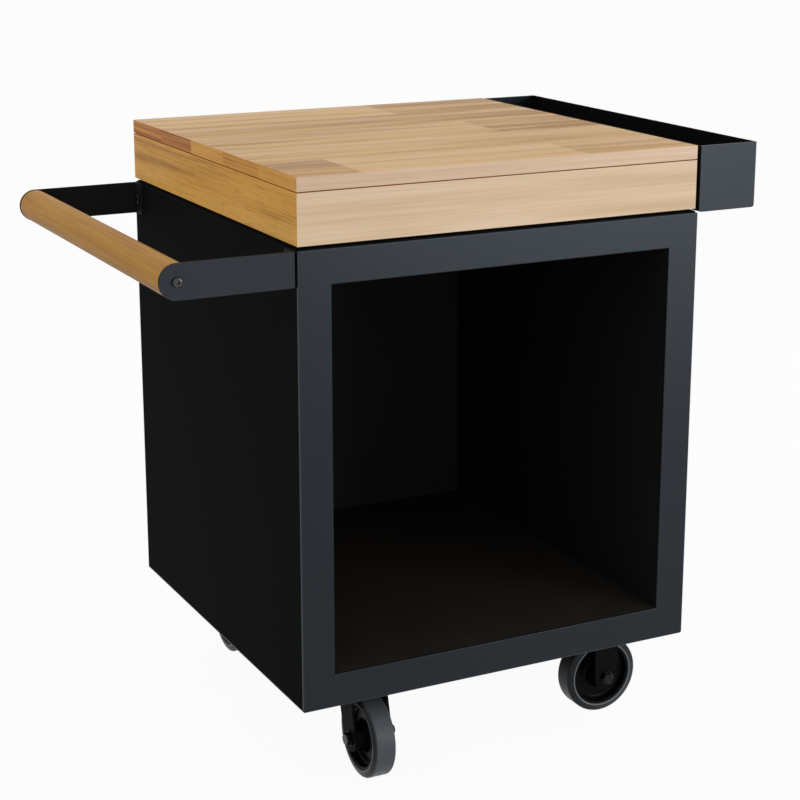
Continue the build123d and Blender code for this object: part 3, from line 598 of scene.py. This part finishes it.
golden_boards = hardwood(
    "oiled_hardwood_golden",
    Y_AXIS,
    pale="#e9b154",
    warm="#dea345",
    deep="#ae7229",
    pore="#8a5420",
    pore_share=0.5,
    streak_share=0.4,
    knot_mm=SIDE_KNOT_MM,
    groove_shade="#c8701e",
)
turned_rod = hardwood(
    "oiled_hardwood_turned",
    Y_AXIS,
    pale="#be8a2b",
    warm="#b47d21",
    deep="#9c6516",
    pore="#804814",
    pore_share=0.25,
    streak_share=0.45,
)
rod_low, rod_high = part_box("handle_rod")
rod_tree = turned_rod.node_tree
rod_place = add(rod_tree, "ShaderNodeTexCoord").outputs["Object"]
rod_height = add(rod_tree, "ShaderNodeSeparateXYZ", {"Vector": rod_place}).outputs["Z"]
# Painted shade: darker and redder from the middle of the rod down to its lowest line.
lower_half = {"Value": rod_height, "From Min": rod_low.z, "From Max": (rod_low.z + rod_high.z) / 2}
underside_shade = add(rod_tree, "ShaderNodeMapRange", {**lower_half, "To Min": UNDERSIDE_SHADE_SHARE, "To Max": 0.0})
recolour(turned_rod, underside_shade.outputs["Result"], linear("#7a4424"))
print("Side boards and rod:", golden_boards.name, turned_rod.name)

# %% [markdown]
# The worktop is glued up from staves that run from the handle side to the planter side. Its top is
# warm, its long edges are paler and its ends golden, so it takes three woods. No two staves match, and
# the attributes that the next step stores on each one, a tone for its top and another for its ends,
# tell the woods how to differ.

# %% Worktop woods
TOP_KNOT_MM = ((186, -58, 920), (34, 9, 60))

top_wood = hardwood(
    "oiled_hardwood_top",
    X_AXIS,
    pale="#e1b985",
    warm="#d1a770",
    deep="#aa7b47",
    pore="#8f6035",
    pore_share=0.15,
    streak_share=0.3,
    tone="stave_tone",
    calm=True,
    knot_mm=TOP_KNOT_MM,
)
edge_wood = hardwood(
    "oiled_hardwood_edge",
    X_AXIS,
    pale="#d9c0a7",
    warm="#cfb399",
    deep="#c7a88c",
    pore="#b08c6b",
    pore_share=0.15,
    streak_share=0.4,
)
end_wood = hardwood(
    "oiled_hardwood_end",
    Y_AXIS,
    pale="#e6ab51",
    warm="#d99942",
    deep="#a85d22",
    pore="#8a5426",
    pore_share=0.3,
    streak_share=0.5,
    tone="end_tone",
)
print("Worktop woods:", top_wood.name, edge_wood.name, end_wood.name)

# %% [markdown]
# A single board with a brick pattern could stand for the staves, but real ones have their own rounded
# edges, called arrises, which catch the light along each joint. So a tree of Geometry Nodes sweeps a
# rounded section along one line for each stave, stores the two random tones on it, and then picks the
# wood for each face by the way it faces.

# %% Stave tree
ARRIS_STEPS = 3  # points on each rounded corner of the section
SQUARE_ON = 0.9  # a face looks along an axis if its normal reaches this far along it
STAVE_INPUTS = {
    "Lines": "NodeSocketGeometry",
    "Stave Width": "NodeSocketFloat",
    "Stave Thickness": "NodeSocketFloat",
    "Arris Radius": "NodeSocketFloat",
    "Top Seed": "NodeSocketInt",
    "End Seed": "NodeSocketInt",
    "Top Wood": "NodeSocketMaterial",
    "Edge Wood": "NodeSocketMaterial",
    "End Wood": "NodeSocketMaterial",
}


def stave_tree():
    """Sweep a rounded section along each loose edge of a mesh, with random tones for each."""
    tree = bpy.data.node_groups.new("staves", "GeometryNodeTree")
    tree.is_modifier = True
    tree.interface.new_socket("Geometry", in_out="OUTPUT", socket_type="NodeSocketGeometry")
    for name, kind in STAVE_INPUTS.items():
        tree.interface.new_socket(name, in_out="INPUT", socket_type=kind)
    given = add(tree, "NodeGroupInput").outputs
    staves = add(tree, "GeometryNodeMeshToCurve", {"Mesh": given["Lines"]}).outputs["Curve"]
    stave = add(tree, "GeometryNodeCurveOfPoint").outputs["Curve Index"]
    for name, seed in (("stave_tone", "Top Seed"), ("end_tone", "End Seed")):
        dice = {"ID": stave, "Seed": given[seed]}
        tone = add(tree, "FunctionNodeRandomValue", dice, data_type="FLOAT").outputs["Value"]
        stored = {"Geometry": staves, "Name": name, "Value": tone}
        staves = add(tree, "GeometryNodeStoreNamedAttribute", stored, data_type="FLOAT").outputs["Geometry"]
    size = {"Width": given["Stave Width"], "Height": given["Stave Thickness"]}
    section = add(tree, "GeometryNodeCurvePrimitiveQuadrilateral", size).outputs["Curve"]
    rounding = {"Curve": section, "Radius": given["Arris Radius"], "Count": ARRIS_STEPS}
    rounded = add(tree, "GeometryNodeFilletCurve", rounding, mode="POLY").outputs["Curve"]
    sweep = {"Curve": staves, "Profile Curve": rounded, "Fill Caps": True}
    swept = add(tree, "GeometryNodeCurveToMesh", sweep).outputs["Mesh"]
    dressed = add(tree, "GeometryNodeRealizeInstances", {"Geometry": swept}).outputs["Geometry"]
    wood = {"Geometry": dressed, "Material": given["Top Wood"]}
    dressed = add(tree, "GeometryNodeSetMaterial", wood).outputs["Geometry"]
    normal = add(tree, "GeometryNodeInputNormal").outputs["Normal"]
    facing = add(tree, "ShaderNodeSeparateXYZ", {"Vector": normal}).outputs
    for direction, wood_name in (("Y", "Edge Wood"), ("X", "End Wood")):
        squareness = add(tree, "ShaderNodeMath", {0: facing[direction]}, operation="ABSOLUTE").outputs[0]
        square = add(tree, "ShaderNodeMath", {0: squareness, 1: SQUARE_ON}, operation="GREATER_THAN")
        wood = {"Geometry": dressed, "Selection": square.outputs[0], "Material": given[wood_name]}
        dressed = add(tree, "GeometryNodeSetMaterial", wood).outputs["Geometry"]
    add(tree, "NodeGroupOutput", {"Geometry": dressed})
    return tree


staves_group = stave_tree()
print("Stave tree:", len(staves_group.nodes), "nodes and", len(STAVE_INPUTS), "inputs")

# %% [markdown]
# The lines are laid out from the CAD board's own box: five rows from front to rear. Some rows are two
# or three lengths that meet end to end, cut where the photograph shows a butt joint, with a hairline
# left open in each joint. The evaluated result is kept as a plain mesh in the board's place.

# %% Worktop staves
STAVE_ROWS = 5
STAVE_ARRIS = 0.25 * MM
BUTT_GAP = 0.1 * MM
TOP_SEED = 30
END_SEED = 1018
JOINTS_MM = ((98, 460), (), (464,), (), (413,))  # butt joints in each row, from the board's left end

board_low, board_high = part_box("worktop_board")
stave_width = (board_high.y - board_low.y) / STAVE_ROWS
board_middle_z = (board_low.z + board_high.z) / 2

points = []
edges = []
for row, joints in enumerate(JOINTS_MM):
    y = board_low.y + (row + 0.5) * stave_width
    starts = [board_low.x, *[board_low.x + joint * MM + BUTT_GAP / 2 for joint in joints]]
    stops = [*[board_low.x + joint * MM - BUTT_GAP / 2 for joint in joints], board_high.x]
    for x0, x1 in zip(starts, stops):
        edges.append((len(points), len(points) + 1))
        points += [(x0, y, board_middle_z), (x1, y, board_middle_z)]

line_mesh = bpy.data.meshes.new("stave_lines")
line_mesh.from_pydata(points, edges, [])
lines = bpy.data.objects.new("stave_lines", line_mesh)
scene.collection.objects.link(lines)
modifier = lines.modifiers.new("staves", "NODES")
modifier.node_group = staves_group
values = {
    "Stave Width": stave_width,
    "Stave Thickness": board_high.z - board_low.z,
    "Arris Radius": STAVE_ARRIS,
    "Top Seed": TOP_SEED,
    "End Seed": END_SEED,
    "Top Wood": top_wood,
    "Edge Wood": edge_wood,
    "End Wood": end_wood,
}
for item in staves_group.interface.items_tree:
    if item.in_out == "INPUT" and item.name in values:
        modifier[item.identifier] = values[item.name]
stave_mesh = bpy.data.meshes.new_from_object(lines.evaluated_get(bpy.context.evaluated_depsgraph_get()))
lines.modifiers.remove(modifier)
bpy.data.objects.remove(lines)

worktop = bpy.data.objects.new("worktop_staves", stave_mesh)
scene.collection.objects.link(worktop)
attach(worktop, "table")
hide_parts("worktop_board")
corners = [Vector(corner) for corner in worktop.bound_box]  # the first is the lowest, number 6 the highest
print("Worktop:", len(edges), "staves,", len(stave_mesh.polygons), "faces, size", corners[6] - corners[0])
volume = sum(face.area * face.normal.z * face.center.z for face in stave_mesh.polygons)
print("Its woods:", [wood.name for wood in stave_mesh.materials])
print("Its volume, which is positive if its faces point outwards:", round(volume, 5))

# %% [markdown]
# The rest of the CAD nodes keep their shape and only change their finish. The record names a material
# slot for each node, so most finishes follow from it, and a few nodes are named one by one.

# %% Finishes on the CAD nodes
slot_finishes = {
    "black_powder_coat": matt_coat,
    "black_strip": strip,
    "oiled_hardwood": pale_boards,
    "zinc_steel": bright_zinc,
    "black_steel": fork_coat,
    "brass_insert": brass,
    "bearing_steel": bearing_steel,
    "black_nylon": nylon,
}
node_finishes = {
    "front_frame": frame_coat,
    "left_side_panel": panel_coat,
    "right_side_panel": panel_coat,
    "rear_panel": panel_coat,
    "planter_trough": trough_coat,
    "base_plate": satin_coat,
    "bay_floor": bay_floor_coat,
    "bay_left_wall": lining_coat,
    "bay_right_wall": lining_coat,
    "bay_ceiling": lining_coat,
    "handle_front_bracket": bracket_coat_painted_shade,
    "handle_rear_bracket": bracket_coat_painted_shade,
    "planter_front_end": satin_coat,
    "planter_rear_end": satin_coat,
    "apron_left_board": golden_boards,
    "apron_right_board": golden_boards,
    "handle_rod": turned_rod,
    "handle_rod_bolts": polished_zinc,
    "handle_flange_bolts": black_zinc,
    "castor_bolts": black_zinc,
    **{f"{castor}_axle": black_zinc for castor in castors},
    **rubbers,
}
for subpart in frame["record"]["subparts"]:
    name = subpart["node"]
    finish = node_finishes.get(name) or slot_finishes[subpart["material_slot"]]
    for slot in nodes[name].material_slots:
        slot.material = finish

# %% [markdown]
# The table stands on a plain pale floor that goes on to the horizon. Seen directly, or in a
# reflection, the floor is part real, so that it keeps the table's shadow, and part plain white.
# More light could whiten it as well, but it would wash out the colours of the table.

# %% Floor
FLOOR_SIZE = 80.0
FLOOR_WHITE = 0.95  # how much of the seen floor is plain white
SEEN_WHITE = 1.0  # the strength at which a glow renders as white


def seen_directly(tree, amount):
    """The given amount on rays from the camera, a reflection or a transmission, and 0 on others."""
    path = add(tree, "ShaderNodeLightPath").outputs
    first = {0: path["Is Camera Ray"], 1: path["Is Glossy Ray"]}
    either = add(tree, "ShaderNodeMath", first, operation="MAXIMUM")
    second = {0: either.outputs[0], 1: path["Is Transmission Ray"]}
    seen = add(tree, "ShaderNodeMath", second, operation="MAXIMUM")
    return add(tree, "ShaderNodeMath", {0: seen.outputs[0], 1: amount}, operation="MULTIPLY").outputs[0]


edge = FLOOR_SIZE / 2
floor_corners = [(-edge, -edge, 0), (edge, -edge, 0), (edge, edge, 0), (-edge, edge, 0)]
floor_mesh = bpy.data.meshes.new("floor")
floor_mesh.from_pydata(floor_corners, [], [(0, 1, 2, 3)])
floor = bpy.data.objects.new("floor", floor_mesh)
scene.collection.objects.link(floor)
floor_paint = bpy.data.materials.new("pale_floor")
floor_paint.use_nodes = True
floor_tree = floor_paint.node_tree
floor_tree.nodes.clear()
paint = add(floor_tree, "ShaderNodeBsdfDiffuse", {"Color": linear("#d8d8d8")})
glow = add(floor_tree, "ShaderNodeEmission", {"Strength": SEEN_WHITE})
layers = {0: seen_directly(floor_tree, FLOOR_WHITE), 1: paint.outputs[0], 2: glow.outputs[0]}
both = add(floor_tree, "ShaderNodeMixShader", layers)
add(floor_tree, "ShaderNodeOutputMaterial", {"Surface": both.outputs[0]})
floor_mesh.materials.append(floor_paint)
print("Floor:", FLOOR_SIZE, "m wide")

# %% [markdown]
# The world does the same: it lights the table from all sides at a low level, as a pale room would, and
# shows itself as the same white as the floor, so that no horizon is seen.

# %% World
FILL_STRENGTH = 0.74
WORLD_WHITE = 1.0  # how much of the seen world is plain white

world = bpy.data.worlds.new("studio")
scene.world = world
world.use_nodes = True
world_tree = world.node_tree
world_tree.nodes.clear()
fill_light = {"Color": linear("#ffffff"), "Strength": FILL_STRENGTH}
fill = add(world_tree, "ShaderNodeBackground", fill_light)
seen_light = {"Color": linear("#ffffff"), "Strength": SEEN_WHITE}
seen_white = add(world_tree, "ShaderNodeBackground", seen_light)
layers = {0: seen_directly(world_tree, WORLD_WHITE), 1: fill.outputs[0], 2: seen_white.outputs[0]}
both = add(world_tree, "ShaderNodeMixShader", layers)
add(world_tree, "ShaderNodeOutputWorld", {"Surface": both.outputs[0]})
print("World:", world.name, "with a fill light of", FILL_STRENGTH)

# %% [markdown]
# One large softbox stands in front of the table and to its right. It lights the front most, the top
# less and leaves the handle side to the fill light, which is how the photograph is lit. A white card
# that faces a flat lamp is as bright as the lamp's power divided by the square of pi times their
# distance, so the power is worked out from the brightness that is wanted.

# %% Softbox
LIGHT_TURN = radians(33)  # to the right of straight ahead
LIGHT_RISE = radians(2.5)  # above the frame's top edge, at which it is aimed
LIGHT_DISTANCE = 4.2
LIGHT_SIZE = 1.9  # its lower edge stays just above the floor
LIGHT_LEVEL = 0.42  # how bright the softbox alone makes a white card that faces it

frame_low, frame_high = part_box("front_frame")
aim = Vector(((frame_low.x + frame_high.x) / 2, frame_low.y, frame_high.z))
level = cos(LIGHT_RISE)
towards = Vector((sin(LIGHT_TURN) * level, -cos(LIGHT_TURN) * level, sin(LIGHT_RISE)))
lamp = bpy.data.lights.new("softbox", "AREA")
lamp.shape = "SQUARE"
lamp.size = LIGHT_SIZE
lamp.energy = LIGHT_LEVEL * pi**2 * LIGHT_DISTANCE**2
softbox = bpy.data.objects.new("softbox", lamp)
scene.collection.objects.link(softbox)
softbox.location = aim + towards * LIGHT_DISTANCE
softbox.rotation_euler = towards.to_track_quat("Z", "Y").to_euler()
softbox.visible_camera = False  # it lights the table and never shows in a view itself
print("Softbox power:", round(lamp.energy, 1), "W")

# %% [markdown]
# The camera stands where the photograph was taken, a little above the worktop and to the left of the
# open front. Its place comes from fitting the cabinet's corners to their places in the photograph.

# %% Camera
CAMERA_PLACE = Vector((-1.285, -2.610, 1.325))
CAMERA_TURN = radians(26.92)  # to the right of straight ahead
CAMERA_DIP = radians(14.47)  # below the horizontal
SENSOR_MM = 36.0
LENS_MM = 85.61
CAMERA_RISE = -0.06  # lens shift, as a share of the picture

camera_data = bpy.data.cameras.new("camera")
camera_data.sensor_width = SENSOR_MM
camera_data.lens = LENS_MM
camera_data.shift_y = CAMERA_RISE
camera = bpy.data.objects.new("camera", camera_data)
scene.collection.objects.link(camera)
camera.location = CAMERA_PLACE
camera.rotation_euler = (pi / 2 - CAMERA_DIP, 0, -CAMERA_TURN)
scene.camera = camera
print("Camera at", tuple(camera.location))
